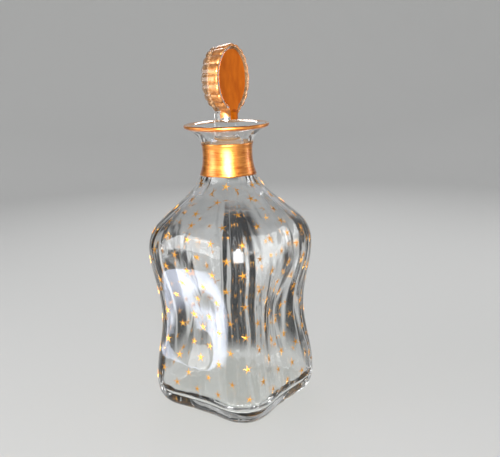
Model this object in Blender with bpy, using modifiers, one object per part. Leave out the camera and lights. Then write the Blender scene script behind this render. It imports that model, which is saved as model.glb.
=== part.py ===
"""A square, pinched glass decanter with gilded neck, lip and disc stopper.

Metres, +Z up. The origin is the middle of the underside. The four pinched
sides face +X, +Y, -X and -Y, and the four corners stand between them.
"""
import math

import bmesh
import bpy
import numpy as np
from mathutils import Matrix, Vector

# Body of the bottle, outside: reaches run from the axis to a corner
CORNER_REACH = 0.0577
WAIST_REACH = 0.0515
HEEL_INSET = 0.0085
FOOT_HEIGHT = 0.0150
FOOT_TO_WAIST = 0.0510
WAIST_TO_SHOULDER = 0.0470
SHOULDER_TO_NECK = 0.0630
SHOULDER_ROUND = 0.0250
NECK_ROUND = 0.0360

# How square each level is: the middle of a side over the corner's reach
FOOT_SIDE_SHARE = 0.78
WAIST_SIDE_SHARE = 0.69
SHOULDER_SIDE_SHARE = 0.85
ROUND_LEVEL_SHARE = 0.67
CORNER_POWER = 3

# Neck and trumpet lip
NECK_RADIUS = 0.0170
NECK_LENGTH = 0.0040
FLARE_RADIUS = 0.0160
FLARE_SWEEP = math.radians(72)
LIP_THICKNESS = 0.0026

# Walls, and the ground bore that takes the plug
WALL = 0.0038
FLOOR = 0.0075
INNER_HEEL = 0.0100
BORE_RADIUS = 0.0135
BORE_LENGTH = 0.0140
BORE_TAPER_SHARE = 0.035
INNER_NECK_ROUND = 0.0220

# Stopper: plug, stem and fluted disc
PLUG_CLEARANCE = 0.0003
PLUG_LENGTH = 0.0200
PLUG_ABOVE_BORE = 0.0040
PLUG_ROUND = 0.0012
STEM_RADIUS = 0.0079
STEM_LENGTH = 0.0207
STEM_FLARE = 0.0080
TIP_LAP = 0.0010
DISC_RADIUS = 0.0228
DISC_THICKNESS = 0.0132
DISC_FORWARD = 0.0006
BORDER_WIDTH = 0.0036
FACE_RECESS = 0.0012
CREST_INSET = 0.0009
CREST_DROP = 0.0022
RIM_DRAFT = 0.0018
FOOT_FILLET = 0.0070
FOOT_HALF_WIDTH = 0.0055
FOOT_THIN_SHARE = 0.70
FLUTES = 20
FLUTE_DEPTH = 0.0009
STOPPER_TURN = math.radians(8)

# Gilding, fired on the glass: modelled as thin shells just off it
GILT_GAP = 0.00015
GILT_THICKNESS = 0.00025
BAND_BELOW_NECK = 0.0130
BAND_HEIGHT = 0.0220
LIP_GILT_WIDTH = 0.0030
RIM_GILT_WIDTH = 0.0070
RIM_GILT_SWEEP = math.radians(290)

# Mesh fineness
SEGMENTS = 56
STEM_SEGMENTS = 32
WAVE_STEPS = 6
ARC_STEPS = 5
EDGE_STEPS = 4
GILT_STEPS = 2
FLUTE_STEPS = 4

# Levels that the sizes above give
WAIST_Z = FOOT_HEIGHT + FOOT_TO_WAIST
SHOULDER_Z = WAIST_Z + WAIST_TO_SHOULDER
NECK_Z = SHOULDER_Z + SHOULDER_TO_NECK
NECK_TOP_Z = NECK_Z + NECK_LENGTH
BORE_END_Z = NECK_TOP_Z - BORE_LENGTH
BORE_END_RADIUS = BORE_RADIUS - BORE_LENGTH * BORE_TAPER_SHARE
NECK_WALL = NECK_RADIUS - BORE_RADIUS
PLUG_TOP_Z = NECK_TOP_Z + PLUG_ABOVE_BORE
PLUG_END_Z = PLUG_TOP_Z - PLUG_LENGTH
DISC_EDGE_Z = PLUG_TOP_Z + STEM_LENGTH
DISC_Z = DISC_EDGE_Z + DISC_RADIUS
FACE_RADIUS = DISC_RADIUS - BORDER_WIDTH
FILLET_SIDE = FOOT_HALF_WIDTH + FOOT_FILLET
FILLET_DROP = math.sqrt((DISC_RADIUS + FOOT_FILLET) ** 2 - FILLET_SIDE ** 2)
STEM_TIP_Z = DISC_Z - FACE_RADIUS
STEM_TIP_RADIUS = DISC_THICKNESS / 2 - FACE_RECESS - DISC_FORWARD
FLARE_AXIS = Vector((NECK_RADIUS + FLARE_RADIUS, NECK_TOP_Z))


def clear_scene():
    """Takes out everything that the file opened with."""
    for obj in list(bpy.data.objects):
        bpy.data.objects.remove(obj, do_unlink=True)


def collection(name):
    """Makes a collection in the scene."""
    made = bpy.data.collections.new(name)
    bpy.context.scene.collection.children.link(made)
    return made


def glass_material(name):
    """Clear soda glass, faintly grey."""
    made = bpy.data.materials.new(name)
    made.use_nodes = True
    shader = made.node_tree.nodes["Principled BSDF"]
    shader.inputs["Base Color"].default_value = (0.93, 0.95, 0.94, 1)
    shader.inputs["Roughness"].default_value = 0.03
    shader.inputs["IOR"].default_value = 1.5
    shader.inputs["Transmission Weight"].default_value = 1
    return made


def gilt_material(name):
    """Fired gold, burnished to a satin finish."""
    made = bpy.data.materials.new(name)
    made.use_nodes = True
    shader = made.node_tree.nodes["Principled BSDF"]
    shader.inputs["Base Color"].default_value = (0.80, 0.42, 0.10, 1)
    shader.inputs["Roughness"].default_value = 0.35
    shader.inputs["Metallic"].default_value = 1
    return made


def place(name, mesh, material, group):
    """Puts a mesh in the scene as one smooth-shaded piece."""
    mesh.materials.clear()
    mesh.materials.append(material)
    mesh.shade_smooth()
    mesh.set_sharp_from_angle(angle=math.radians(35))
    piece = bpy.data.objects.new(name, mesh)
    group.objects.link(piece)
    return piece


def ease(share):
    """Runs from 0 to 1 and lies level at both ends."""
    return (1 - math.cos(math.pi * share)) / 2


def level_curve(levels, height):
    """Reads a curve that lies level at each of its (height, value) levels."""
    if height <= levels[0][0]:
        return levels[0][1]
    for (low, start), (high, end) in zip(levels, levels[1:]):
        if height <= high:
            return start + (end - start) * ease((height - low) / (high - low))
    return levels[-1][1]


def arc(centre, radius, start, end, steps):
    """Points (radius, height) on an arc about a centre, between two angles."""
    turns = [start + (end - start) * step / steps for step in range(steps + 1)]
    return [(centre[0] + radius * math.cos(turn), centre[1] + radius * math.sin(turn))
            for turn in turns]


def shoulder_path(reach, shoulder_round, neck_radius, neck_round, neck_z):
    """Shoulder arc, cone and neck arc, each running into the next."""
    low = Vector((reach - shoulder_round, SHOULDER_Z))
    high = Vector((neck_radius + neck_round, neck_z))
    span = (high - low).length
    closeness = min(1, span / (shoulder_round + neck_round))
    shoulder_round, neck_round = shoulder_round * closeness, neck_round * closeness
    low.x, high.x = reach - shoulder_round, neck_radius + neck_round
    span = (high - low).length
    rise = math.atan2(high.y - low.y, high.x - low.x)
    lean = rise - math.acos(min(1, (shoulder_round + neck_round) / span))
    return (arc(low, shoulder_round, 0, lean, ARC_STEPS)
            + arc(high, neck_round, math.pi + lean, math.pi, ARC_STEPS))


def wave_path(inset):
    """Foot bulge, waist and shoulder bulge, as far as the shoulder arc."""
    levels = [(FOOT_HEIGHT, CORNER_REACH), (WAIST_Z, WAIST_REACH), (SHOULDER_Z, CORNER_REACH)]
    heights = [low + (high - low) * step / WAVE_STEPS
               for (low, _), (high, _) in zip(levels, levels[1:]) for step in range(WAVE_STEPS)]
    return [(level_curve(levels, height) - inset, height) for height in heights]


def heel_path():
    """The rounded heel, from the flat underside out to the foot bulge."""
    turns = [math.pi / 2 * step / ARC_STEPS for step in range(ARC_STEPS)]
    return [(CORNER_REACH - HEEL_INSET * (1 - math.sin(turn)),
             FOOT_HEIGHT * (1 - math.cos(turn))) for turn in turns]


def lip_path(start, offset, steps):
    """The lip's skin from a flare angle under it, round its edge, to the same on top."""
    sweep_wall = [(0, NECK_WALL), (FLARE_SWEEP, LIP_THICKNESS)]
    under = [start + (FLARE_SWEEP - start) * step / steps for step in range(steps)]
    over = [FLARE_SWEEP + (start - FLARE_SWEEP) * (step + 1) / steps for step in range(steps)]
    points = []
    for turn in under:
        radius = FLARE_RADIUS - offset
        points.append(FLARE_AXIS + radius * Vector((-math.cos(turn), math.sin(turn))))
    middle = FLARE_RADIUS + LIP_THICKNESS / 2
    edge = FLARE_AXIS + middle * Vector((-math.cos(FLARE_SWEEP), math.sin(FLARE_SWEEP)))
    points += arc(edge, LIP_THICKNESS / 2 + offset, -FLARE_SWEEP, math.pi - FLARE_SWEEP,
                  EDGE_STEPS)
    for turn in over:
        radius = FLARE_RADIUS + level_curve(sweep_wall, turn) + offset
        points.append(FLARE_AXIS + radius * Vector((-math.cos(turn), math.sin(turn))))
    return [(point[0], point[1]) for point in points]


def outer_path():
    """The outside of the bottle, from the underside up to the start of the flare."""
    return (heel_path() + wave_path(0)
            + shoulder_path(CORNER_REACH, SHOULDER_ROUND, NECK_RADIUS, NECK_ROUND, NECK_Z))


def side_share(height):
    """The middle of a side over the corner's reach, on the outside at a height."""
    round_z = SHOULDER_Z + SHOULDER_TO_NECK * ROUND_LEVEL_SHARE
    levels = [(FOOT_HEIGHT, FOOT_SIDE_SHARE), (WAIST_Z, WAIST_SIDE_SHARE),
              (SHOULDER_Z, SHOULDER_SIDE_SHARE), (round_z, 1)]
    return level_curve(levels, height)


def ring(reach, height, share):
    """One level of the bottle: a rounded square, or a circle where share is 1."""
    points = []
    for step in range(SEGMENTS):
        turn = 2 * math.pi * step / SEGMENTS
        corner = abs(math.sin(2 * turn)) ** CORNER_POWER
        radius = reach * (share + (1 - share) * corner)
        points.append(Vector((radius * math.cos(turn), radius * math.sin(turn), height)))
    return points


def inner_rings():
    """The hollow of the bottle, from the bore down to its floor."""
    outside = outer_path()
    heights = [height for _, height in outside]
    reaches = [reach for reach, _ in outside]
    path = (wave_path(WALL)
            + shoulder_path(CORNER_REACH - WALL, SHOULDER_ROUND - WALL, BORE_END_RADIUS,
                            INNER_NECK_ROUND, BORE_END_Z))
    heel_top = FLOOR + INNER_HEEL
    rings = []
    for reach, height in reversed(path):
        if height <= heel_top:
            continue
        outer = float(np.interp(height, heights, reaches))
        side = outer * side_share(height) - (outer - reach)
        rings.append(ring(reach, height, side / reach))
    foot_reach = wave_path(WALL)[0][0]
    foot_share = (CORNER_REACH * FOOT_SIDE_SHARE - WALL) / foot_reach
    for step in range(ARC_STEPS + 1):
        turn = math.pi / 2 * step / ARC_STEPS
        reach = foot_reach - INNER_HEEL * (1 - math.cos(turn))
        rings.append(ring(reach, heel_top - INNER_HEEL * math.sin(turn), foot_share))
    return rings


def loft(name, rings, closed=False):
    """Skins rings of points; the ends are flat faces unless the loft closes."""
    mesh = bpy.data.meshes.new(name)
    bm = bmesh.new()
    loops = [[bm.verts.new(point) for point in points] for points in rings]
    if closed:
        loops.append(loops[0])
    for low, high in zip(loops, loops[1:]):
        for index, vert in enumerate(low):
            after = (index + 1) % len(low)
            bm.faces.new((vert, low[after], high[after], high[index]))
    if not closed:
        bm.faces.new(reversed(loops[0]))
        bm.faces.new(loops[-1])
    bmesh.ops.recalc_face_normals(bm, faces=bm.faces)
    bm.to_mesh(mesh)
    bm.free()
    return mesh


def bottle_mesh():
    """One blown shell: outside, lip and hollow in a single skin."""
    rings = [ring(reach, height, side_share(height)) for reach, height in outer_path()]
    rings += [ring(reach, height, 1) for reach, height in lip_path(0, 0, ARC_STEPS)]
    return loft("glass_bottle", rings + inner_rings())


def turned(name, points, steps, group, closed=True):
    """Turns a profile of (radius, height) points about Z with a Screw modifier."""
    mesh = bpy.data.meshes.new(name)
    edges = [(index, index + 1) for index in range(len(points) - 1)]
    if closed:
        edges.append((len(points) - 1, 0))
    mesh.from_pydata([(radius, 0, height) for radius, height in points], edges, [])
    piece = bpy.data.objects.new(name, mesh)
    group.objects.link(piece)
    screw = piece.modifiers.new("turn", "SCREW")
    screw.axis = "Z"
    screw.steps = steps
    screw.render_steps = steps
    screw.use_merge_vertices = True
    screw.merge_threshold = GILT_GAP / 100
    screw.use_smooth_shade = True
    return piece


def finished_mesh(piece):
    """The mesh of a piece with its modifiers done; the piece itself goes."""
    graph = bpy.context.evaluated_depsgraph_get()
    mesh = bpy.data.meshes.new_from_object(piece.evaluated_get(graph))
    bpy.data.objects.remove(piece, do_unlink=True)
    return mesh


def band_path(offset):
    """The neck's skin over the height of the gold band, pushed out by an offset."""
    outside = outer_path() + lip_path(0, 0, ARC_STEPS)[:ARC_STEPS]
    heights = [height for _, height in outside]
    radii = [radius for radius, _ in outside]
    low = NECK_Z - BAND_BELOW_NECK
    levels = [low, low + BAND_HEIGHT] + [z for z in heights if low < z < low + BAND_HEIGHT]
    return [(float(np.interp(z, heights, radii)) + offset, z) for z in sorted(set(levels))]


def shell_section(path, lifted):
    """A closed section between a skin and the same skin lifted off the glass."""
    return list(reversed(lifted)) + path


def flute(turn):
    """How deep the fluting is at an angle round the disc, from 0 to 1."""
    return (1 - math.cos(FLUTES * turn)) / 2


def foot_reach(turn):
    """How far the disc's outline runs out past its circle, down its foot to the stem."""
    turn = abs(math.remainder(turn, 2 * math.pi))
    if turn >= math.atan2(FILLET_SIDE, FILLET_DROP):
        return 0
    if turn <= math.atan2(FOOT_HALF_WIDTH, FILLET_DROP):
        return FILLET_DROP / math.cos(turn) - DISC_RADIUS
    along = FILLET_SIDE * math.sin(turn) + FILLET_DROP * math.cos(turn)
    apart = FILLET_SIDE ** 2 + FILLET_DROP ** 2 - FOOT_FILLET ** 2
    return along - math.sqrt(max(0, along ** 2 - apart)) - DISC_RADIUS


def rim_path(offset, back):
    """Half the disc's edge: face border, crest and rim, as (radius, side) points.

    The side runs along the disc's axis from its middle; back is where it stops.
    """
    half = DISC_THICKNESS / 2
    crest = DISC_RADIUS - CREST_INSET
    return [(FACE_RADIUS, half - FACE_RECESS + offset),
            ((FACE_RADIUS + crest) / 2 - offset / 2, half - FACE_RECESS / 4 + offset),
            (crest, half + offset),
            (DISC_RADIUS - CREST_INSET / 3 + offset / 2, half - CREST_DROP / 3 + offset / 2),
            (DISC_RADIUS + offset, half - CREST_DROP),
            (DISC_RADIUS + offset, back)]


def disc_point(radius, side, turn):
    """A point of the fluted disc: side along X, the turn runs from the foot of the disc."""
    share = min(1, max(0, (radius - FACE_RADIUS) / BORDER_WIDTH))
    foot = foot_reach(turn)
    foot_share = foot / (FILLET_DROP - DISC_RADIUS)
    draft = RIM_DRAFT * (1 / 2 - side / DISC_THICKNESS)
    flutes = FLUTE_DEPTH * flute(turn) * (1 - min(1, foot_share))
    reach = radius + share * (foot - draft - flutes)
    thin = 1 - share * foot_share * (1 - FOOT_THIN_SHARE)
    return Vector((side * thin, reach * math.sin(turn), -reach * math.cos(turn)))


def disc_turns(start, end):
    """Angles round the disc that catch every flute's ridge and bottom."""
    steps = round((end - start) * FLUTES * FLUTE_STEPS / (2 * math.pi))
    return [start + (end - start) * step / steps for step in range(steps + 1)]


def stopper_frame():
    """Places the disc's own frame: its middle just before the axis, its face turned."""
    turned_to_face = Matrix.Rotation(STOPPER_TURN, 4, "Z")
    return turned_to_face @ Matrix.Translation((DISC_FORWARD, 0, DISC_Z))


def disc_mesh():
    """The glass disc, fluted across its edge, with both faces sunk."""
    front = rim_path(0, 0)
    section = front[:-1] + [(radius, -side) for radius, side in reversed(front[:-1])]
    turns = disc_turns(0, 2 * math.pi)[:-1]
    rings = [[disc_point(radius, side, turn) for turn in turns] for radius, side in section]
    mesh = loft("disc", rings)
    mesh.transform(stopper_frame())
    return mesh


def stem_path():
    """Plug, stem and the tip that goes up into the disc, from the top down."""
    def plug_radius(height):
        bore = BORE_RADIUS - (NECK_TOP_Z - height) * BORE_TAPER_SHARE
        return bore - PLUG_CLEARANCE

    shoulder = (plug_radius(NECK_TOP_Z) - PLUG_ROUND, PLUG_TOP_Z - PLUG_ROUND)
    end = (plug_radius(PLUG_END_Z) - PLUG_ROUND, PLUG_END_Z + PLUG_ROUND)
    flare = [(level_curve([(PLUG_TOP_Z, shoulder[0]), (PLUG_TOP_Z + STEM_FLARE, STEM_RADIUS)],
                          PLUG_TOP_Z + STEM_FLARE * step / ARC_STEPS),
              PLUG_TOP_Z + STEM_FLARE * step / ARC_STEPS) for step in range(ARC_STEPS, 0, -1)]
    tip_start = DISC_EDGE_Z + TIP_LAP
    tip = []
    for step in range(ARC_STEPS + 1):
        height = STEM_TIP_Z + (tip_start - STEM_TIP_Z) * step / ARC_STEPS
        levels = [(tip_start, STEM_RADIUS), (STEM_TIP_Z, STEM_TIP_RADIUS)]
        tip.append((level_curve(levels, height), height))
    plug = (arc(shoulder, PLUG_ROUND, math.pi / 2, 0, ARC_STEPS // 2)
            + [(plug_radius(NECK_TOP_Z), NECK_TOP_Z)]
            + arc(end, PLUG_ROUND, 0, -math.pi / 2, ARC_STEPS // 2))
    return [(0, STEM_TIP_Z)] + tip + flare + plug + [(0, PLUG_END_Z)]


def stopper_mesh(cutters):
    """Disc, stem and plug joined into one piece of glass."""
    stem = turned("stem", stem_path(), STEM_SEGMENTS, cutters, closed=False)
    disc = bpy.data.objects.new("disc", disc_mesh())
    cutters.objects.link(disc)
    union = disc.modifiers.new("join", "BOOLEAN")
    union.operation = "UNION"
    union.solver = "EXACT"
    union.object = stem
    mesh = finished_mesh(disc)
    bpy.data.objects.remove(stem, do_unlink=True)
    return mesh


def face_gilt_mesh():
    """The gold on the sunk face, a thin round leaf."""
    bm = bmesh.new()
    side = DISC_THICKNESS / 2 - FACE_RECESS + GILT_GAP
    bmesh.ops.create_cone(bm, cap_ends=True, segments=SEGMENTS, radius1=FACE_RADIUS - GILT_GAP,
                          radius2=FACE_RADIUS - GILT_GAP, depth=GILT_THICKNESS)
    bmesh.ops.translate(bm, verts=bm.verts, vec=(0, 0, side + GILT_THICKNESS / 2))
    bmesh.ops.rotate(bm, verts=bm.verts, matrix=Matrix.Rotation(math.pi / 2, 3, "Y"))
    bmesh.ops.transform(bm, verts=bm.verts, matrix=stopper_frame())
    mesh = bpy.data.meshes.new("stopper_face_gilding")
    bm.to_mesh(mesh)
    bm.free()
    return mesh


def rim_gilt_mesh():
    """The gold over the disc's front border and fluted rim, open over the stem."""
    back = DISC_THICKNESS / 2 - RIM_GILT_WIDTH
    section = shell_section(rim_path(GILT_GAP, back), rim_path(GILT_GAP + GILT_THICKNESS, back))
    gap = math.pi - RIM_GILT_SWEEP / 2
    turns = disc_turns(gap, 2 * math.pi - gap)
    rings = [[disc_point(radius, side, turn) for radius, side in section] for turn in turns]
    mesh = loft("stopper_rim_gilding", rings)
    mesh.transform(stopper_frame())
    return mesh


def build():
    """Makes the decanter: the bottle with its gilding, then the stopper with its own."""
    clear_scene()
    decanter = collection("gilded_decanter")
    tools = collection("cutters")
    glass = glass_material("clear_glass")
    gold = gilt_material("fired_gold")

    place("glass_bottle", bottle_mesh(), glass, decanter)

    section = shell_section(band_path(GILT_GAP), band_path(GILT_GAP + GILT_THICKNESS))
    band = turned("neck_gilt_band", section, SEGMENTS, tools)
    place("neck_gilt_band", finished_mesh(band), gold, decanter)

    gilt_turn = FLARE_SWEEP - LIP_GILT_WIDTH / FLARE_RADIUS
    section = shell_section(lip_path(gilt_turn, GILT_GAP, GILT_STEPS),
                            lip_path(gilt_turn, GILT_GAP + GILT_THICKNESS, GILT_STEPS))
    lip = turned("lip_gilt_ring", section, SEGMENTS, tools)
    place("lip_gilt_ring", finished_mesh(lip), gold, decanter)

    place("glass_stopper", stopper_mesh(tools), glass, decanter)
    place("stopper_face_gilding", face_gilt_mesh(), gold, decanter)
    place("stopper_rim_gilding", rim_gilt_mesh(), gold, decanter)


build()
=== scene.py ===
import math
import random

import bpy
from mathutils import Matrix, Vector, noise


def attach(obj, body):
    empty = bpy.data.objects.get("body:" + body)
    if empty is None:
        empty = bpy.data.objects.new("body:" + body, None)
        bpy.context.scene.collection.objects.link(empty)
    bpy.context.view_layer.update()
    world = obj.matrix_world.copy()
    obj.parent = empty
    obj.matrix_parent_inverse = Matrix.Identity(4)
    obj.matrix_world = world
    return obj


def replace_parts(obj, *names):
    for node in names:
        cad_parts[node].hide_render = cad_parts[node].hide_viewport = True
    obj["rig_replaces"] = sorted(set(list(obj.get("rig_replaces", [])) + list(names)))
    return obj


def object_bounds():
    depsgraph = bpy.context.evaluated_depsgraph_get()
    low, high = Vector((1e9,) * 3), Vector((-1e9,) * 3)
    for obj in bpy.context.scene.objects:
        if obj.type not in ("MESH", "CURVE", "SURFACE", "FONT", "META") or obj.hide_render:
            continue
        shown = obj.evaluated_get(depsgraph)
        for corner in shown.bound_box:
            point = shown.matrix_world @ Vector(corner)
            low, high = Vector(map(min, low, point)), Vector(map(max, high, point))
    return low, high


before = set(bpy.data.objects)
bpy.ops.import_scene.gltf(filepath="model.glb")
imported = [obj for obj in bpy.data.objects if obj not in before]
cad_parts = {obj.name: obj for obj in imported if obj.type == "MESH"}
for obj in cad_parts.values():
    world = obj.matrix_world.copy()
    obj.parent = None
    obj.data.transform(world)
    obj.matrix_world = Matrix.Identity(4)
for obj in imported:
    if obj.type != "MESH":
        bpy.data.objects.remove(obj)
cad_low, cad_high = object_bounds()


# The camera stands 48 cm from the decanter's axis, a little above the lip, before the corner
# between the front and the right side. It looks down on the foot and leans two degrees.
camera_reach = 0.478
camera_height = 0.2389
camera_turn = math.radians(37.59)
camera_pan = math.radians(1.64)
camera_tilt = math.radians(13.59)
camera_roll = math.radians(1.96)
lens_mm = 50.15
film_mm = 36
nearest_seen = 0.01
bpy.ops.object.camera_add()
camera = bpy.context.object
camera.matrix_world = (
    Matrix.Translation((camera_reach * math.sin(camera_turn),
                        -camera_reach * math.cos(camera_turn), camera_height))
    @ Matrix.Rotation(camera_turn - camera_pan, 4, "Z")
    @ Matrix.Rotation(math.pi / 2 - camera_tilt, 4, "X")
    @ Matrix.Rotation(-camera_roll, 4, "Z"))
camera.data.lens = lens_mm
camera.data.sensor_width = film_mm
camera.data.clip_start = nearest_seen
bpy.context.scene.camera = camera


# The studio: a pale table that curves up into a round backdrop, so that it looks the same
# from every side. It is matt painted board, stage only, and no part of the decanter.
def linear(code):
    """An sRGB hex colour as linear red, green and blue with an alpha of one."""
    parts = [int(code[start:start + 2], 16) / 255 for start in (1, 3, 5)]
    return tuple(part / 12.92 if part <= 0.04045 else ((part + 0.055) / 1.055) ** 2.4
                 for part in parts) + (1,)


def new_material(name):
    """A material with an empty node tree but for its output."""
    made = bpy.data.materials.new(name)
    made.use_nodes = True
    made.node_tree.nodes.remove(made.node_tree.nodes["Principled BSDF"])
    return made


def add_node(material, kind, inputs=None, **settings):
    """Adds a node. An input takes a value, or the output of another node as its link."""
    made = material.node_tree.nodes.new("ShaderNode" + kind)
    for name, value in settings.items():
        setattr(made, name, value)
    for name, value in (inputs or {}).items():
        if isinstance(value, bpy.types.NodeSocket):
            material.node_tree.links.new(value, made.inputs[name])
        else:
            made.inputs[name].default_value = value
    return made


def show(material, shader):
    """Joins a shader's output to the material's surface."""
    output = material.node_tree.nodes["Material Output"]
    material.node_tree.links.new(shader, output.inputs["Surface"])


def deselect():
    """Leaves nothing selected, as before adding a piece by hand."""
    bpy.ops.object.select_all(action="DESELECT")


table_radius = 0.9
table_gap = 0.0003
table_sides = 96
backdrop_radius = 1.3
backdrop_height = 0.5
sweep_steps = 12
air_strength = 0.56
deselect()
bpy.ops.mesh.primitive_circle_add(vertices=table_sides, radius=table_radius, fill_type="NGON",
                                  location=(0, 0, -table_gap))
studio = bpy.context.object
studio.name = "studio_table"
bpy.ops.object.mode_set(mode="EDIT")
bpy.ops.mesh.select_mode(type="EDGE")
bpy.ops.mesh.select_all(action="SELECT")
bpy.ops.mesh.region_to_loop()
reached = table_radius
risen = 0
for step in range(1, sweep_steps + 1):
    turn = math.pi / 2 * step / sweep_steps
    radius = table_radius + (backdrop_radius - table_radius) * math.sin(turn)
    height = backdrop_height * (1 - math.cos(turn))
    bpy.ops.mesh.extrude_region_move(TRANSFORM_OT_translate={"value": (0, 0, height - risen)})
    bpy.ops.transform.resize(value=(radius / reached, radius / reached, 1))
    reached, risen = radius, height
bpy.ops.object.mode_set(mode="OBJECT")
bpy.ops.object.shade_smooth()

board = new_material("matt painted board")
board_shader = add_node(board, "BsdfPrincipled",
                        {"Base Color": linear("#D6D6D4"), "Roughness": 0.85,
                         "Specular IOR Level": 0.0})
show(board, board_shader.outputs["BSDF"])
studio.data.materials.append(board)

world = bpy.data.worlds.new("studio_air")
bpy.context.scene.world = world
world.use_nodes = True
world_background = world.node_tree.nodes["Background"]
world_background.inputs["Color"].default_value = linear("#E4E5E8")
world_background.inputs["Strength"].default_value = air_strength


# A small bright box just over the camera gives the gold its white line and the stars their
# sparkle. Tall boxes stand at both sides, where the pinched sides mirror them, and one high at
# the back lights the edges. Each row: name, turn from the camera and rise over the middle in
# degrees, reach, width and height in metres, and watts.
soft_boxes = (("front_box", 1, 24, 0.75, 0.12, 0.20, 3.0),
              ("left_box", -75, 10, 0.80, 0.38, 0.49, 2.6),
              ("right_box", 105, 10, 0.80, 0.16, 0.49, 1.1),
              ("back_box", 180, 40, 0.80, 0.25, 0.25, 1.5))
middle = Vector((0, 0, (cad_low.z + cad_high.z) / 2))
for name, box_turn, box_rise, box_reach, box_width, box_height, watts in soft_boxes:
    turn, rise = camera_turn + math.radians(box_turn), math.radians(box_rise)
    away = Vector((math.sin(turn) * math.cos(rise), -math.cos(turn) * math.cos(rise),
                   math.sin(rise)))
    deselect()
    bpy.ops.object.light_add(type="AREA", location=middle + away * box_reach)
    box = bpy.context.object
    box.name = name
    box.data.shape = "RECTANGLE"
    box.data.size = box_width
    box.data.size_y = box_height
    box.data.energy = watts
    box.rotation_euler = (-away).to_track_quat("-Z", "Y").to_euler()
    box.visible_camera = False

# Black cards with soft edges stand close round the decanter. Clear glass shows its edges by
# what it bends into view, so without them it would vanish. They are seen only through glass.
# Each row: turn from the camera in degrees, then reach, width and height in metres.
card_lean = math.radians(24)
card_foot = -0.005
card_sides = 4
card_rows = ((-5, 0.062, 0.05, 0.155), (30, 0.070, 0.04, 0.20), (-35, 0.070, 0.04, 0.20))
card_soft_shares = (("X", 0.6), ("Y", 0.3))
card_middle = 0.5


def soft_card(name, shader_kind, shader_inputs):
    """A material that fades out towards all four edges of the card that it is on."""
    made = new_material(name)
    place = add_node(made, "TexCoord")
    parts = add_node(made, "SeparateXYZ", {"Vector": place.outputs["UV"]})
    fades = []
    for axis, soft_share in card_soft_shares:
        off = add_node(made, "Math", {0: parts.outputs[axis], 1: card_middle},
                       operation="SUBTRACT")
        far = add_node(made, "Math", {0: off.outputs["Value"]}, operation="ABSOLUTE")
        fade = add_node(made, "MapRange", {"Value": far.outputs["Value"],
                                           "From Min": card_middle,
                                           "From Max": card_middle * (1 - soft_share)},
                        interpolation_type="SMOOTHSTEP")
        fades.append(fade.outputs["Result"])
    cover = add_node(made, "Math", {0: fades[0], 1: fades[1]}, operation="MULTIPLY")
    solid = add_node(made, shader_kind, shader_inputs)
    clear = add_node(made, "BsdfTransparent")
    mixed = add_node(made, "MixShader", {0: cover.outputs["Value"], 1: clear.outputs["BSDF"],
                                         2: solid.outputs[0]})
    show(made, mixed.outputs["Shader"])
    return made


def add_card(name, material, place):
    """A stage card one unit square, put in place, that the camera and the board do not see."""
    deselect()
    bpy.ops.mesh.primitive_plane_add(size=1)
    card = bpy.context.object
    card.name = name
    card.data.transform(place)
    card.data.materials.append(material)
    card.visible_camera = False
    card.visible_diffuse = False
    card.visible_shadow = False
    return card


felt = soft_card("black card with soft edges", "BsdfDiffuse", {"Color": linear("#222427")})
for side in range(card_sides):
    for card_turn, card_reach, card_width, card_height in card_rows:
        turn = camera_turn + math.radians(360 / card_sides * side + card_turn)
        card = add_card("black_card", felt,
                        Matrix.Rotation(turn, 4, "Z")
                        @ Matrix.Translation((0, -card_reach, 0))
                        @ Matrix.Rotation(math.pi / 2 + card_lean, 4, "X")
                        @ Matrix.Translation((0, card_foot + card_height / 2, 0))
                        @ Matrix.Diagonal((card_width, card_height, 1, 1)))
        card.visible_glossy = False

# One glowing card stands behind the camera. Gold and glass mirror it, as they mirror a flash
# beside the lens, and it lights nothing else.
glow_strength = 22
glow_turn = camera_turn - math.radians(1)
glow_reach = 0.70
glow_middle_z = 0.235
glow_width = 0.58
glow_height = 0.46
glow = soft_card("glowing card with soft edges", "Emission",
                 {"Color": linear("#FFFFFF"), "Strength": glow_strength})
glow_card = add_card("glowing_card", glow,
                     Matrix.Rotation(glow_turn, 4, "Z")
                     @ Matrix.Translation((0, -glow_reach, glow_middle_z))
                     @ Matrix.Rotation(math.pi / 2, 4, "X")
                     @ Matrix.Diagonal((glow_width, glow_height, 1, 1)))
glow_card.visible_transmission = False

# A second, smaller one lies low at the left. The pinch of the left side leans out over it and
# mirrors it as one wide pale patch.
low_glow_strength = 9
low_glow_turn = camera_turn - math.radians(75)
low_glow_reach = 0.115
low_glow_z = 0.032
low_glow_width = 0.09
low_glow_length = 0.09
low_glow = soft_card("low glowing card with soft edges", "Emission",
                     {"Color": linear("#E6EDFF"), "Strength": low_glow_strength})
low_card = add_card("low_glowing_card", low_glow,
                    Matrix.Rotation(low_glow_turn, 4, "Z")
                    @ Matrix.Translation((0, -low_glow_reach, low_glow_z))
                    @ Matrix.Diagonal((low_glow_width, low_glow_length, 1, 1)))
low_card.visible_transmission = False

# Two dark cards stand far to the sides, where the edges of the neck mirror them: they give the
# gold its dark brown edges.
edge_turn = math.radians(122)
edge_reach = 0.32
edge_middle_z = 0.19
edge_width = 0.22
edge_height = 0.40
for side in (-1, 1):
    card = add_card("edge_card", felt,
                    Matrix.Rotation(camera_turn + side * edge_turn, 4, "Z")
                    @ Matrix.Translation((0, -edge_reach, edge_middle_z))
                    @ Matrix.Rotation(math.pi / 2, 4, "X")
                    @ Matrix.Diagonal((edge_width, edge_height, 1, 1)))
    card.visible_transmission = False

# Light passes up to a dozen skins of glass and gold on its way through neck and stopper, so
# the paths are long.
glass_bounces = 24
mirror_bounces = 8
bpy.context.scene.view_settings.view_transform = "Standard"
bpy.context.scene.cycles.max_bounces = glass_bounces
bpy.context.scene.cycles.transmission_bounces = glass_bounces
bpy.context.scene.cycles.glossy_bounces = mirror_bounces
bpy.context.scene.cycles.transparent_max_bounces = glass_bounces


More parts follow.
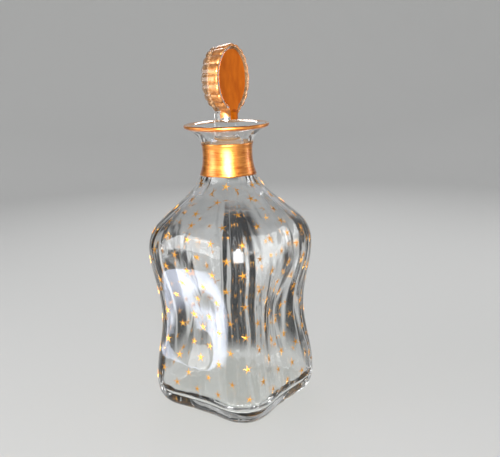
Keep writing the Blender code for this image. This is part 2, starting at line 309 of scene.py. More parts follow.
# The bottle: clear soda glass, blown into a mould, its four sides pinched in while soft. The
# outside, the trumpet lip and the hollow are one skin, turned round first and pinched after.
corner_reach = 0.0577
waist_reach = 0.0515
heel_inset = 0.0085
foot_height = 0.0150
waist_z = 0.0660
shoulder_z = 0.1130
neck_z = 0.1760
neck_top_z = 0.1800
shoulder_round = 0.0250
neck_round = 0.0360
neck_radius = 0.0170
flare_radius = 0.0160
flare_sweep = math.radians(72)
lip_thickness = 0.0026
wall = 0.0038
floor_thickness = 0.0075
inner_heel = 0.0100
bore_radius = 0.0135
bore_end_radius = 0.0130
bore_end_z = 0.1660
inner_neck_round = 0.0220
round_level_share = 0.67
side_shares = ((foot_height, 0.78), (waist_z, 0.69), (shoulder_z, 0.85),
               (shoulder_z + (neck_z - shoulder_z) * round_level_share, 1))
corner_power = 3
bottle_turns = 360
wave_steps = 22
arc_steps = 14
bore_steps = 4
spoke_steps = 8
weld_reach = 0.000002
skin_ripple = 0.00016
hollow_ripple = 0.00050
swirl_turns = 3.2
swirl_height = 0.045
streak_share = 0.22
streak_turns = 11
streak_height = 0.09
streak_start = 7
fold_depth = 0.00030
fold_width = 0.0220
fold_spread = 0.17
fold_wander = 1.6
fold_height = 0.03
fold_from_share = 0.15


def level_curve(levels, height):
    """Reads a curve that lies level at each of its (height, value) levels."""
    if height <= levels[0][0]:
        return levels[0][1]
    for (low, start), (high, end) in zip(levels, levels[1:]):
        if height <= high:
            share = (height - low) / (high - low)
            return start + (end - start) * (1 - math.cos(math.pi * share)) / 2
    return levels[-1][1]


def arc(middle, radius, start, end, steps):
    """Points (radius, height) along an arc, from one angle to another."""
    turns = [start + (end - start) * step / steps for step in range(steps + 1)]
    return [(middle[0] + radius * math.cos(turn), middle[1] + radius * math.sin(turn))
            for turn in turns]


def wave(inset):
    """Foot bulge, waist and shoulder bulge at the corner, up to where the shoulder rounds."""
    levels = ((foot_height, corner_reach), (waist_z, waist_reach), (shoulder_z, corner_reach))
    heights = [low + (high - low) * step / wave_steps
               for (low, _), (high, _) in zip(levels, levels[1:]) for step in range(wave_steps)]
    return [(level_curve(levels, height) - inset, height) for height in heights]


def shoulder(reach, rounding, neck, neck_rounding, top):
    """The round of the shoulder, a straight slope and the hollow round into the neck."""
    low = Vector((reach - rounding, shoulder_z))
    high = Vector((neck + neck_rounding, top))
    span = high - low
    lean = math.atan2(span.y, span.x) - math.acos((rounding + neck_rounding) / span.length)
    return (arc(low, rounding, 0, lean, arc_steps)
            + arc(high, neck_rounding, math.pi + lean, math.pi, arc_steps))


flare_middle = Vector((neck_radius + flare_radius, neck_top_z))
lip_edge = flare_middle + ((flare_radius + lip_thickness / 2)
                           * Vector((-math.cos(flare_sweep), math.sin(flare_sweep))))


def flare(start, thickness_there, offset, steps):
    """The lip's skin from a flare angle on its underside, round the edge, to the top side."""
    walls = ((0, thickness_there), (flare_sweep, lip_thickness))
    turns = [start + (flare_sweep - start) * step / steps for step in range(steps)]
    aims = [(turn, Vector((-math.cos(turn), math.sin(turn)))) for turn in turns]
    under = [flare_middle + aim * (flare_radius - offset) for _, aim in aims]
    over = [flare_middle + aim * (flare_radius + level_curve(walls, turn) + offset)
            for turn, aim in reversed(aims)]
    rim = arc(lip_edge, lip_thickness / 2 + offset, -flare_sweep, math.pi - flare_sweep,
              arc_steps // 2)
    return [tuple(point) for point in under] + rim + [tuple(point) for point in over]


def read_profile(profile, height):
    """The radius that a rising profile has at a height."""
    for (near, low), (far, high) in zip(profile, profile[1:]):
        if low <= height <= high and high > low:
            return near + (far - near) * (height - low) / (high - low)
    return profile[0][0] if height < profile[0][1] else profile[-1][0]


def turn_piece(name, profile, steps, closed=False):
    """Draws a profile by extruding one vertex along it, then spins it round into a solid."""
    deselect()
    bpy.ops.mesh.primitive_plane_add(size=1)
    piece = bpy.context.object
    piece.name = piece.data.name = name
    bpy.ops.object.mode_set(mode="EDIT")
    bpy.ops.mesh.select_mode(type="VERT")
    bpy.ops.mesh.select_all(action="SELECT")
    bpy.ops.mesh.merge(type="CENTER")
    points = profile + profile[:1] if closed else profile
    bpy.ops.transform.translate(value=(points[0][0], 0, points[0][1]))
    for (radius, height), (next_radius, next_height) in zip(points, points[1:]):
        bpy.ops.mesh.extrude_vertices_move(
            TRANSFORM_OT_translate={"value": (next_radius - radius, 0, next_height - height)})
    bpy.ops.mesh.select_all(action="SELECT")
    bpy.ops.mesh.spin(steps=steps, angle=2 * math.pi, center=(0, 0, 0), axis=(0, 0, 1))
    bpy.ops.mesh.select_all(action="SELECT")
    bpy.ops.mesh.remove_doubles(threshold=weld_reach)
    bpy.ops.mesh.normals_make_consistent(inside=False)
    bpy.ops.object.mode_set(mode="OBJECT")
    bpy.ops.object.shade_smooth()
    return piece


heel = [(corner_reach - heel_inset * (1 - math.sin(math.pi / 2 * step / arc_steps)),
         foot_height * (1 - math.cos(math.pi / 2 * step / arc_steps)))
        for step in range(arc_steps)]
outside = heel + wave(0) + shoulder(corner_reach, shoulder_round, neck_radius, neck_round, neck_z)
lip = flare(0, neck_radius - bore_radius, 0, arc_steps)
hollow_reach = corner_reach - wall
heel_top_z = floor_thickness + inner_heel
hollow = [(bore_radius - (bore_radius - bore_end_radius) * step / bore_steps,
           neck_top_z - (neck_top_z - bore_end_z) * step / bore_steps)
          for step in range(1, bore_steps)]
hollow += reversed([point for point in wave(wall) if point[1] > heel_top_z]
                   + shoulder(hollow_reach, shoulder_round - wall, bore_end_radius,
                              inner_neck_round, bore_end_z))
hollow += [(hollow_reach - inner_heel * (1 - math.cos(math.pi / 2 * step / arc_steps)),
            heel_top_z - inner_heel * math.sin(math.pi / 2 * step / arc_steps))
           for step in range(arc_steps + 1)]
spokes = [corner_reach * step / spoke_steps for step in range(1, spoke_steps - 1)]
underside = [(0, 0)] + [(spoke, 0) for spoke in spokes]
hollow_floor = [(spoke, floor_thickness) for spoke in reversed(spokes)] + [(0, floor_thickness)]
bottle = turn_piece("bottle_glass", underside + outside + lip + hollow + hollow_floor,
                    bottle_turns)


# The pinch: each level is drawn in between the corners, and the hollow keeps its wall. Glass
# that has been blown and pinched is uneven inside, which makes its streaks of light.
def swell(turn, height, radius, depth):
    """How far the glass stands out of its true shape at a place, as a share of its radius."""
    softness = (min(1, radius / corner_reach) * min(1, max(0, (bore_end_z - height) / wall))
                * min(1, height / foot_height))
    swirl = noise.noise(Vector((swirl_turns * math.cos(turn), swirl_turns * math.sin(turn),
                                height / swirl_height)))
    streak = noise.noise(Vector((streak_turns * math.cos(turn), streak_turns * math.sin(turn),
                                 height / streak_height + streak_start)))
    return depth * softness * (swirl + streak_share * streak) / max(radius, wall)


def fold(turn, height):
    """The folds that the pinch leaves inside the wall, on both sides of each corner."""
    off = math.remainder(turn - math.pi / 4, math.pi / 2)
    wander = fold_wander * noise.noise(Vector((math.cos(turn), math.sin(turn),
                                               height / fold_height)))
    return fold_depth * math.exp(-(off / fold_spread) ** 2) * math.cos(off / fold_width + wander)


for vertex in bottle.data.vertices:
    place = vertex.co
    radius, height = math.hypot(place.x, place.y), place.z
    if height > neck_top_z or radius == 0:
        continue
    turn = math.atan2(place.y, place.x)
    corner = abs(math.sin(2 * turn)) ** corner_power
    share = level_curve(side_shares, height)
    outer = read_profile(outside, height)
    inside = height > floor_thickness / 2 and radius < outer - lip_thickness / 2
    if inside:
        level = max(height, heel_top_z)
        around = read_profile(outside, level)
        share = (around * level_curve(side_shares, level) - wall) / (around - wall)
    drawn = share + (1 - share) * corner
    drawn += swell(turn, height, radius, hollow_ripple if inside else skin_ripple)
    if inside:
        drawn += fold(turn, height) * min(1, (1 - share) / fold_from_share) / max(radius, wall)
    place.x, place.y = place.x * drawn, place.y * drawn

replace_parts(bottle, "glass_bottle")
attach(bottle, "bottle")

# Soda glass, fire polished: colourless but for a faint green-grey in its depth, mirror smooth,
# with long shallow waves 16 mm apart.
glass_wave = 0.016
glass_wave_depth = 0.0004
glass_bend = 1.52
glass = new_material("soda glass")
glass_place = add_node(glass, "TexCoord")
glass_waves = add_node(glass, "TexNoise", {"Vector": glass_place.outputs["Object"],
                                           "Scale": 1 / glass_wave, "Detail": 1.5})
glass_bump = add_node(glass, "Bump", {"Height": glass_waves.outputs["Fac"], "Strength": 0.5,
                                      "Distance": glass_wave_depth})
glass_shader = add_node(glass, "BsdfPrincipled",
                        {"Base Color": linear("#FBFCFC"), "Roughness": 0.0, "IOR": glass_bend,
                         "Transmission Weight": 1.0, "Normal": glass_bump.outputs["Normal"]})


def show_glass(material, shader, tint):
    """Shows a glass that lamps and soft light pass straight, so that its shadow is light."""
    passed = add_node(material, "BsdfTransparent", {"Color": linear(tint)})
    light = add_node(material, "LightPath")
    lit = add_node(material, "Math", {0: light.outputs["Is Shadow Ray"],
                                      1: light.outputs["Is Diffuse Ray"]}, operation="MAXIMUM")
    mixed = add_node(material, "MixShader", {0: lit.outputs["Value"], 1: shader.outputs["BSDF"],
                                             2: passed.outputs["BSDF"]})
    show(material, mixed.outputs["Shader"])


show_glass(glass, glass_shader, "#FBFCFB")
bottle.data.materials.append(glass)

# The bore and the plug are ground to fit each other, which leaves both grey and dull.
bore_slack = 0.0001
second_slot = 1
ground = new_material("ground glass")
ground_shader = add_node(ground, "BsdfPrincipled",
                         {"Base Color": linear("#F4F6F5"), "Roughness": 0.45,
                          "IOR": glass_bend, "Transmission Weight": 1.0})
show_glass(ground, ground_shader, "#F6F7F6")
bottle.data.materials.append(ground)
for face in bottle.data.polygons:
    reach = math.hypot(face.center.x, face.center.y)
    if reach < bore_radius + bore_slack and bore_end_z < face.center.z < neck_top_z:
        face.material_index = second_slot


# The gold band: liquid gold brushed round the turning neck and fired on. It is a film with a
# hand-drawn edge at top and bottom and fine brush lines round it.
gilt_sink = 0.00002
gilt_film = 0.00018
band_low = neck_z - 0.0130
band_high = band_low + 0.0220
band_levels = 16
band_wander = 0.0005
band_long_wave = 1.4
band_long_share = 2
band_short_wave = 5
band_short_share = 0.4
band_edge_apart = 5
film_turns = 192
skin = outside + lip[:arc_steps]
band_heights = [band_low + (band_high - band_low) * level / band_levels
                for level in range(band_levels + 1)]
band_profile = ([(read_profile(skin, height) - gilt_sink, height) for height in band_heights]
                + [(read_profile(skin, height) + gilt_film, height)
                   for height in reversed(band_heights)])
band = turn_piece("neck_gold_band", band_profile, film_turns, closed=True)
for vertex in band.data.vertices:
    place = vertex.co
    turn = math.atan2(place.y, place.x)
    share = 2 * (place.z - band_low) / (band_high - band_low) - 1
    aim = Vector((band_long_wave * math.cos(turn), band_long_wave * math.sin(turn),
                  band_edge_apart * math.copysign(1, share)))
    wander = (band_long_share * noise.noise(aim)
              + band_short_share * noise.noise(aim * band_short_wave))
    height = place.z + band_wander * share * abs(share) * wander
    grown = ((read_profile(skin, height) + math.hypot(place.x, place.y)
              - read_profile(skin, place.z)) / math.hypot(place.x, place.y))
    vertex.co = (place.x * grown, place.y * grown, height)
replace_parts(band, "neck_gilt_band")
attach(band, "bottle")

# Bright gold, brushed on and fired: a deep orange metal whose brush lines run round the neck.
# The real lines are 0.1 mm apart; they are drawn at 0.5 mm so that they show.
brush_line = 0.0005
brush_depth = 0.0001
brush_stretch = 0.05
gold_patch = 0.006
line_share = 0.55
gold = new_material("fired bright gold")
gold_place = add_node(gold, "TexCoord")
gold_stretch = add_node(gold, "Mapping", {"Vector": gold_place.outputs["Object"],
                                          "Scale": (brush_stretch, brush_stretch, 1)})
gold_lines = add_node(gold, "TexNoise", {"Vector": gold_stretch.outputs["Vector"],
                                         "Scale": 1 / brush_line, "Detail": 2})
gold_cloud = add_node(gold, "TexNoise", {"Vector": gold_place.outputs["Object"],
                                         "Scale": 1 / gold_patch, "Detail": 3})
gold_mottle = add_node(gold, "Mix", {0: line_share, 2: gold_cloud.outputs["Fac"],
                                     3: gold_lines.outputs["Fac"]})
gold_tint = add_node(gold, "ValToRGB", {"Fac": gold_mottle.outputs[0]})
gold_tint.color_ramp.elements[0].position = 0.38
gold_tint.color_ramp.elements[0].color = linear("#C4661A")
gold_tint.color_ramp.elements[1].position = 0.62
gold_tint.color_ramp.elements[1].color = linear("#F2A34A")
gold_rough = add_node(gold, "MapRange", {"Value": gold_lines.outputs["Fac"], "To Min": 0.30,
                                         "To Max": 0.50})
gold_bump = add_node(gold, "Bump", {"Height": gold_lines.outputs["Fac"], "Strength": 0.5,
                                    "Distance": brush_depth})
gold_shader = add_node(gold, "BsdfPrincipled",
                       {"Base Color": gold_tint.outputs["Color"], "Metallic": 1.0,
                        "Roughness": gold_rough.outputs["Result"],
                        "Normal": gold_bump.outputs["Normal"],
                        "Coat Weight": 0.8, "Coat Roughness": 0.25})
show(gold, gold_shader.outputs["BSDF"])

# Seen through the glass, the underside of fired gold is dull and brown.
gold_back = new_material("underside of the gold")
gold_back_shader = add_node(gold_back, "BsdfPrincipled",
                            {"Base Color": linear("#B2875A"), "Metallic": 0.4,
                             "Roughness": 0.55})
show(gold_back, gold_back_shader.outputs["BSDF"])


def gild(piece):
    """Gives a turned film its gold, and the underside's finish where it faces the axis."""
    piece.data.materials.append(gold)
    piece.data.materials.append(gold_back)
    for face in piece.data.polygons:
        if face.normal.x * face.center.x + face.normal.y * face.center.y < 0:
            face.material_index = second_slot


gild(band)


# The gold line on the lip: the same gold, wiped round the lip's edge by hand, so that the top
# of the lip stays clear. It runs up to 3 mm under the lip where the brush was full, at the
# left, and thins out to a line on the edge on the other side.
lip_gold_width = 0.0030
lip_gold_over = math.radians(40)
lip_full_turn = math.radians(218)
lip_full_power = 2
lip_thin_share = 0.22
lip_least_share = 0.05
lip_wander = 0.16
lip_long_wave = 3
lip_short_wave = 3
lip_short_share = 0.5
lip_wave_start = 5
lip_under_steps = 8
lip_over_steps = 12
gold_start = flare_sweep - lip_gold_width / flare_radius


def edge_skin(offset):
    """The lip's skin from where the gold starts under it to where it stops on the edge."""
    under = flare(gold_start, lip_thickness, offset, lip_under_steps)[:lip_under_steps]
    return under + arc(lip_edge, lip_thickness / 2 + offset, -flare_sweep, lip_gold_over,
                       lip_over_steps)


lip_section = edge_skin(gilt_film) + list(reversed(edge_skin(-gilt_sink)))
lip_line = turn_piece("lip_gold_line", lip_section, film_turns, closed=True)
for vertex in lip_line.data.vertices:
    place = vertex.co
    radius = math.hypot(place.x, place.y)
    turn = math.atan2(place.y, place.x)
    inward, risen = neck_radius + flare_radius - radius, place.z - neck_top_z
    swept = math.atan2(risen, inward)
    if swept < flare_sweep:
        aim = Vector((lip_long_wave * math.cos(turn), lip_long_wave * math.sin(turn),
                      lip_wave_start))
        full = ((1 + math.cos(turn - lip_full_turn)) / 2) ** lip_full_power
        kept = lip_thin_share + (1 - lip_thin_share - lip_wander) * full
        kept += lip_wander * (noise.noise(aim)
                              + lip_short_share * noise.noise(lip_short_wave * aim))
        slid = flare_sweep - (flare_sweep - swept) * min(1, max(lip_least_share, kept))
        reach = math.hypot(inward, risen)
        grown = (neck_radius + flare_radius - reach * math.cos(slid)) / radius
        vertex.co = (place.x * grown, place.y * grown, neck_top_z + reach * math.sin(slid))
gild(lip_line)
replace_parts(lip_line, "lip_gilt_ring")
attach(lip_line, "bottle")


# The stopper: one piece of pressed glass. A thick disc with a fluted edge and a sunk face on
# both sides runs down into a round stem and the plug, which is ground to fit the bore.
disc_radius = 0.0228
disc_half = 0.0066
disc_forward = 0.0006
disc_z = 0.2275
border_width = 0.0036
face_recess = 0.0012
face_dish = 0.0005
crest_inset = 0.0009
crest_drop = 0.0022
rim_draft = 0.0018
foot_fillet = 0.0070
foot_half_width = 0.0055
foot_thin_share = 0.70
flutes = 20
flute_depth = 0.0010
flute_steps = 12
crest_scallop = 0.13
tail_run = 0.0058
tail_turn = 0.42
tail_power = 3
face_narrow = 0.0015
face_steps = 6
crest_steps = 5
edge_steps = 3
stopper_turn = math.radians(8)
plug_clearance = 0.0003
plug_top_z = neck_top_z + 0.0040
plug_end_z = plug_top_z - 0.0200
plug_round = 0.0012
plug_round_steps = 5
stem_turns = 96
stem_radius = 0.0079
stem_flare = 0.0080
disc_edge_z = plug_top_z + 0.0207
face_radius = disc_radius - border_width
fillet_side = foot_half_width + foot_fillet
fillet_drop = math.sqrt((disc_radius + foot_fillet) ** 2 - fillet_side ** 2)
stem_tip_z = disc_z - face_radius
stem_tip_radius = disc_half - face_recess - disc_forward
stopper_grain = 0.00035
polish_share = 0.5
polish_rounds = 6


def foot_run(turn):
    """How far the disc's outline runs out past its circle, down its foot to the stem."""
    turn = abs(math.remainder(turn, 2 * math.pi))
    if turn >= math.atan2(fillet_side, fillet_drop):
        return 0
    if turn <= math.atan2(foot_half_width, fillet_drop):
        return fillet_drop / math.cos(turn) - disc_radius
    along = fillet_side * math.sin(turn) + fillet_drop * math.cos(turn)
    apart = fillet_side ** 2 + fillet_drop ** 2 - foot_fillet ** 2
    return along - math.sqrt(max(0, along ** 2 - apart)) - disc_radius


def flute(turn):
    """The fluting round the disc: round ribs that meet in sharp valleys, from 0 to 1."""
    return 1 - math.sqrt(abs(math.cos(flutes * turn / 2)))


def plug_radius(height):
    """The ground plug's radius, a running gap inside the tapered bore."""
    taper = (bore_radius - bore_end_radius) / (neck_top_z - bore_end_z)
    return bore_radius - (neck_top_z - height) * taper - plug_clearance


def face_run(turn):
    """How far the sunk face runs past its circle: down the foot, and less than it at the sides."""
    turn = abs(math.remainder(turn, 2 * math.pi))
    tail = tail_run * (1 + math.cos(math.pi * min(1, turn / tail_turn))) / 2
    return tail - face_narrow * math.sin(turn) ** 2


half_section = [(face_radius * step / face_steps, disc_half - face_recess
                 - face_dish * (1 - (step / face_steps) ** 2)) for step in range(face_steps + 1)]
crest_radius = disc_radius - crest_inset
half_section += [(face_radius + (crest_radius - face_radius) * step / face_steps,
                  disc_half - face_recess * (1 - math.sin(math.pi / 2 * step / face_steps)))
                 for step in range(1, face_steps)]
half_section += [(crest_radius + crest_inset * math.sin(math.pi / 2 * step / crest_steps),
                  disc_half - crest_drop * (1 - math.cos(math.pi / 2 * step / crest_steps)))
                 for step in range(crest_steps + 1)]
half_section += [(disc_radius, (disc_half - crest_drop) * step / edge_steps)
                 for step in range(edge_steps - 1, 0, -1)]
disc_section = ([(radius, -side) for radius, side in half_section] + [(disc_radius, 0)]
                + list(reversed(half_section)))
stopper = turn_piece("stopper_glass", disc_section, flutes * flute_steps)
for vertex in stopper.data.vertices:
    place = vertex.co
    radius, side = math.hypot(place.x, place.y), place.z
    turn = math.atan2(place.y, place.x)
    share = min(1, max(0, (radius - face_radius) / border_width))
    foot = foot_run(turn)
    foot_share = foot / (fillet_drop - disc_radius)
    draft = rim_draft * (0.5 - side / (2 * disc_half))
    cut = flute_depth * flute(turn) * (1 - min(1, foot_share))
    sunk = min(1, radius / face_radius) ** tail_power * face_run(turn) if side > 0 else 0
    reach = radius + (1 - share) * sunk + share * (foot - draft - cut)
    thin = 1 - share * foot_share * (1 - foot_thin_share)
    thin -= share * crest_scallop * flute(turn) * (1 - min(1, foot_share))
    vertex.co = (side * thin, reach * math.sin(turn), -reach * math.cos(turn))
disc_place = (Matrix.Rotation(stopper_turn, 4, "Z")
              @ Matrix.Translation((disc_forward, 0, disc_z)))
stopper.data.transform(disc_place)

tip_levels = ((disc_edge_z, stem_radius), (stem_tip_z, stem_tip_radius))
flare_levels = ((plug_top_z, plug_radius(neck_top_z) - plug_round),
                (plug_top_z + stem_flare, stem_radius))
stem_section = [(0, stem_tip_z)]
for step in range(arc_steps + 1):
    height = stem_tip_z + (disc_edge_z - stem_tip_z) * step / arc_steps
    stem_section.append((level_curve(tip_levels, height), height))
for step in range(1, arc_steps + 1):
    height = plug_top_z + stem_flare * (1 - step / arc_steps)
    stem_section.append((level_curve(flare_levels, height), height))
plug_shoulder = (plug_radius(neck_top_z) - plug_round, plug_top_z - plug_round)
plug_heel = (plug_radius(plug_end_z) - plug_round, plug_end_z + plug_round)
stem_section += arc(plug_shoulder, plug_round, math.pi / 2, 0, plug_round_steps)
stem_section += arc(plug_heel, plug_round, 0, -math.pi / 2, plug_round_steps)
stem_section.append((0, plug_end_z))
stem = turn_piece("stopper_stem", stem_section, stem_turns)

# Pressed glass has no sharp line where the disc meets the stem: the two are joined, meshed
# anew as one skin and smoothed as the fire polish does.
for piece in (stopper, stem):
    deselect()
    piece.select_set(True)
    bpy.context.view_layer.objects.active = piece
    bpy.ops.object.mode_set(mode="EDIT")
    bpy.ops.mesh.select_all(action="SELECT")
    bpy.ops.mesh.normals_make_consistent(inside=False)
    bpy.ops.object.mode_set(mode="OBJECT")
deselect()
stopper.select_set(True)
bpy.context.view_layer.objects.active = stopper
bpy.ops.object.modifier_add(type="BOOLEAN")
union = stopper.modifiers[-1]
union.operation = "UNION"
union.solver = "EXACT"
union.object = stem
bpy.ops.object.modifier_apply(modifier=union.name)
bpy.data.objects.remove(stem, do_unlink=True)
bpy.ops.object.modifier_add(type="REMESH")
remesh = stopper.modifiers[-1]
remesh.mode = "VOXEL"
remesh.voxel_size = stopper_grain
bpy.ops.object.modifier_apply(modifier=remesh.name)
bpy.ops.object.modifier_add(type="SMOOTH")
smooth = stopper.modifiers[-1]
smooth.factor = polish_share
smooth.iterations = polish_rounds
bpy.ops.object.modifier_apply(modifier=smooth.name)
bpy.ops.object.shade_smooth()
stopper.data.materials.append(glass)
stopper.data.materials.append(ground)
for face in stopper.data.polygons:
    if plug_end_z + plug_round < face.center.z < neck_top_z:
        face.material_index = second_slot
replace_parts(stopper, "glass_stopper")
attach(stopper, "stopper")


# The stopper's gold: brushed over the face and down the front of the stem, and over the front
# half of the fluted edge, with a clear border between. Each film is a copy of the glass's own
# skin, and the two material slots that come with it take its gold and its underside.
rim_gold_width = 0.0070
gold_foot_z = 0.2003
gold_arch = 0.0024
arch_turn = math.radians(60)
arch_wave = 1.5
tail_side_share = 0.9
least_face_tilt = 0.6
least_border_tilt = 0.5
film_crease = math.radians(50)


def lift_gold(name, covered):
    """Copies the part of the stopper's skin that a rule covers, as a thin closed film."""
    deselect()
    film = stopper.copy()
    film.data = stopper.data.copy()
    film.name = film.data.name = name
    del film["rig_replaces"]
    bpy.context.scene.collection.objects.link(film)
    bpy.context.view_layer.objects.active = film
    film.select_set(True)
    bpy.ops.object.mode_set(mode="EDIT")
    bpy.ops.mesh.select_all(action="SELECT")
    back = disc_place @ Vector((disc_half - rim_gold_width, 0, 0))
    bpy.ops.mesh.bisect(plane_co=back, plane_no=disc_place.to_3x3() @ Vector((1, 0, 0)),
                        clear_inner=True)
    bpy.ops.mesh.select_all(action="SELECT")
    bpy.ops.mesh.bisect(plane_co=(0, 0, gold_foot_z), plane_no=(0, 0, 1), clear_inner=True)
    bpy.ops.mesh.select_mode(type="FACE")
    bpy.ops.mesh.select_all(action="DESELECT")
    bpy.ops.object.mode_set(mode="OBJECT")
    home = disc_place.inverted()
    for face in film.data.polygons:
        face.select = not covered(home @ face.center, home.to_3x3() @ face.normal)
    bpy.ops.object.mode_set(mode="EDIT")
    bpy.ops.mesh.delete(type="FACE")
    bpy.ops.object.mode_set(mode="OBJECT")
    bpy.ops.object.modifier_add(type="SOLIDIFY")
    thicken = film.modifiers[-1]
    thicken.thickness = gilt_film + gilt_sink
    thicken.offset = (gilt_film - gilt_sink) / (gilt_film + gilt_sink)
    thicken.material_offset = second_slot
    bpy.ops.object.modifier_apply(modifier=thicken.name)
    bpy.ops.object.shade_smooth_by_angle(angle=film_crease)
    return film


def on_face(place, normal):
    """The sunk face, and the tail that runs from it down the front of the foot."""
    radius = math.hypot(place.y, place.z)
    run = face_run(math.atan2(place.y, -place.z))
    tail = abs(place.y) < foot_half_width * tail_side_share and place.z < -face_radius
    return normal.x > least_face_tilt and (radius < face_radius + run or tail)


def on_rim(place, normal):
    """Over the crest and the front of the fluted edge, and down to an arch on the stem."""
    radius = math.hypot(place.y, place.z)
    outline = disc_radius + foot_run(math.atan2(place.y, -place.z))
    border_end = outline - crest_inset - rim_draft / 2
    on_border = normal.x > least_border_tilt and radius < border_end
    off = abs(math.atan2(place.y, place.x)) - arch_turn
    arch = gold_arch * max(0, math.cos(arch_wave * off)) ** 2
    under_arch = place.z + disc_z < gold_foot_z + arch
    return not (on_border or under_arch or on_face(place, normal))


face_gold = lift_gold("face_gold_leaf", on_face)
rim_gold = lift_gold("rim_gold", on_rim)
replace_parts(face_gold, "stopper_face_gilding")
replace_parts(rim_gold, "stopper_rim_gilding")

# The face carries gold leaf, burnished: a deep even orange with soft patches 6 mm wide.
leaf_patch = 0.0060
leaf_draw = 0.5
leaf_depth = 0.0001
leaf = new_material("burnished gold leaf")
leaf_place = add_node(leaf, "TexCoord")
leaf_stretch = add_node(leaf, "Mapping", {"Vector": leaf_place.outputs["Object"],
                                          "Scale": (1, 1, leaf_draw)})
leaf_cloud = add_node(leaf, "TexNoise", {"Vector": leaf_stretch.outputs["Vector"],
                                         "Scale": 1 / leaf_patch, "Detail": 4})
leaf_tint = add_node(leaf, "ValToRGB", {"Fac": leaf_cloud.outputs["Fac"]})
leaf_tint.color_ramp.elements[0].position = 0.30
leaf_tint.color_ramp.elements[0].color = linear("#B95A08")
leaf_tint.color_ramp.elements[1].position = 0.70
leaf_tint.color_ramp.elements[1].color = linear("#D27012")
leaf_bump = add_node(leaf, "Bump", {"Height": leaf_cloud.outputs["Fac"], "Strength": 0.2,
                                    "Distance": leaf_depth})
leaf_shader = add_node(leaf, "BsdfPrincipled",
                       {"Base Color": leaf_tint.outputs["Color"], "Metallic": 1.0,
                        "Roughness": 0.48, "Normal": leaf_bump.outputs["Normal"]})
show(leaf, leaf_shader.outputs["BSDF"])
face_gold.data.materials[0] = leaf

# The gold of the fluted edge is thinner and worn by the hand: paler and dull under a glassy
# shine, in patches 2 mm wide.
worn_patch = 0.0020
worn = new_material("thin worn gold")
worn_place = add_node(worn, "TexCoord")
worn_cloud = add_node(worn, "TexNoise", {"Vector": worn_place.outputs["Object"],
                                         "Scale": 1 / worn_patch, "Detail": 4})
worn_tint = add_node(worn, "ValToRGB", {"Fac": worn_cloud.outputs["Fac"]})
worn_tint.color_ramp.elements[0].position = 0.35
worn_tint.color_ramp.elements[0].color = linear("#BE7334")
worn_tint.color_ramp.elements[1].position = 0.65
worn_tint.color_ramp.elements[1].color = linear("#E0A263")
worn_shader = add_node(worn, "BsdfPrincipled",
                       {"Base Color": worn_tint.outputs["Color"], "Metallic": 1.0,
                        "Roughness": 0.5, "Coat Weight": 0.8, "Coat Roughness": 0.12})
show(worn, worn_shader.outputs["BSDF"])
rim_gold.data.materials[0] = worn

for film in (face_gold, rim_gold):
    film.data.materials[second_slot] = gold_back
    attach(film, "stopper")


# The stars: five-pointed, one arm up, stamped in liquid gold by hand in staggered rows and
# fired on. Each is raised a little and follows the glass under it.
star_arms = 5
star_reach = 0.0032
star_waist_share = 0.21
star_film = 0.00014
star_jitter = 0.0008
star_lean = 0.22
least_star_size = 0.88
most_star_size = 1.08
feel_step = 0.001
star_seed = 11

# Each row: height, number of stars round it, and its shift as a share of their spacing.
body_rows = ((0.0200, 16, 0), (0.0295, 16, 0.5), (0.0410, 16, 0), (0.0505, 16, 0.5),
             (0.0620, 16, 0), (0.0705, 16, 0.5), (0.0840, 16, 0), (0.0945, 16, 0.5),
             (0.1060, 16, 0), (0.1160, 16, 0.5), (0.1260, 16, 0), (0.1345, 12, 0.5),
             (0.1420, 8, 0), (0.1490, 8, 0.5), (0.1575, 7, 0))
chance = random.Random(star_seed)


def skin_point(turn, height):
    """The point of the bottle's outside at a turn round it and a height."""
    radius = read_profile(outside, height)
    share = level_curve(side_shares, height)
    drawn = share + (1 - share) * abs(math.sin(2 * turn)) ** corner_power
    drawn += swell(turn, height, radius, skin_ripple)
    return Vector((radius * drawn * math.cos(turn), radius * drawn * math.sin(turn), height))


deselect()
bpy.ops.mesh.primitive_circle_add(vertices=2 * star_arms, radius=star_reach,
                                  fill_type="TRIFAN")
star = bpy.context.object
for vertex in star.data.vertices:
    turn = math.atan2(vertex.co.y, vertex.co.x)
    arm = round((turn - math.pi / 2) / (math.pi / star_arms))
    if vertex.co.length > star_reach / 2 and arm % 2:
        vertex.co *= star_waist_share
bpy.ops.object.mode_set(mode="EDIT")
bpy.ops.mesh.select_all(action="SELECT")
bpy.ops.mesh.extrude_region_move(TRANSFORM_OT_translate={"value": (0, 0, star_film)})
bpy.ops.mesh.select_all(action="SELECT")
bpy.ops.mesh.normals_make_consistent(inside=False)
bpy.ops.object.mode_set(mode="OBJECT")

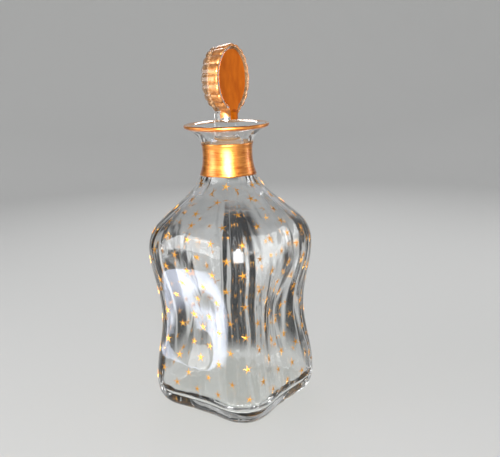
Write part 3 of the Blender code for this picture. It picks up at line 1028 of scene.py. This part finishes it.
stars = []
for row_z, count, shift in body_rows:
    for place in range(count):
        turn = 2 * math.pi * (place + shift) / count + math.pi / 4
        height = row_z + chance.uniform(-star_jitter, star_jitter)
        radius = read_profile(outside, height)
        turn += chance.uniform(-star_jitter, star_jitter) / radius
        tilt = Matrix.Rotation(chance.uniform(-star_lean, star_lean), 4, "Z")
        size = chance.uniform(least_star_size, most_star_size)
        feel_turn = feel_step / radius
        middle = skin_point(turn, height)
        across = (skin_point(turn + feel_turn, height)
                  - skin_point(turn - feel_turn, height)).normalized()
        up = (skin_point(turn, height + feel_step)
              - skin_point(turn, height - feel_step)).normalized()
        out = across.cross(up).normalized()
        copied = star.copy()
        copied.data = star.data.copy()
        bpy.context.scene.collection.objects.link(copied)
        for vertex in copied.data.vertices:
            flat = tilt @ vertex.co * size
            aim = middle + across * flat.x + up * flat.y
            on_glass = skin_point(math.atan2(aim.y, aim.x), aim.z)
            lift = star_film if vertex.co.z > star_film / 2 else -gilt_sink
            vertex.co = on_glass + out * lift
        stars.append(copied)
deselect()
for copied in stars:
    copied.select_set(True)
bpy.data.objects.remove(star, do_unlink=True)
bpy.context.view_layer.objects.active = stars[0]
bpy.ops.object.join()
gilt_stars = bpy.context.object
gilt_stars.name = gilt_stars.data.name = "gilt_stars"
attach(gilt_stars, "bottle")

# Liquid gold, stamped and fired: brighter and grainier than the brushed band, with a grain of
# 1.5 mm, coarser than the real one so that it shows.
star_grain_size = 0.0015
star_grain_depth = 0.0001
star_gold = new_material("stamped liquid gold")
star_place = add_node(star_gold, "TexCoord")
star_grain = add_node(star_gold, "TexNoise", {"Vector": star_place.outputs["Object"],
                                              "Scale": 1 / star_grain_size, "Detail": 3})
star_tint = add_node(star_gold, "ValToRGB", {"Fac": star_grain.outputs["Fac"]})
star_tint.color_ramp.elements[0].position = 0.30
star_tint.color_ramp.elements[0].color = linear("#D88A28")
star_tint.color_ramp.elements[1].position = 0.70
star_tint.color_ramp.elements[1].color = linear("#F4B850")
star_bump = add_node(star_gold, "Bump", {"Height": star_grain.outputs["Fac"], "Strength": 0.4,
                                         "Distance": star_grain_depth})
star_shader = add_node(star_gold, "BsdfPrincipled",
                       {"Base Color": star_tint.outputs["Color"], "Metallic": 1.0,
                        "Roughness": 0.34, "Normal": star_bump.outputs["Normal"]})
show(star_gold, star_shader.outputs["BSDF"])
gilt_stars.data.materials.append(star_gold)

bpy.context.view_layer.update()
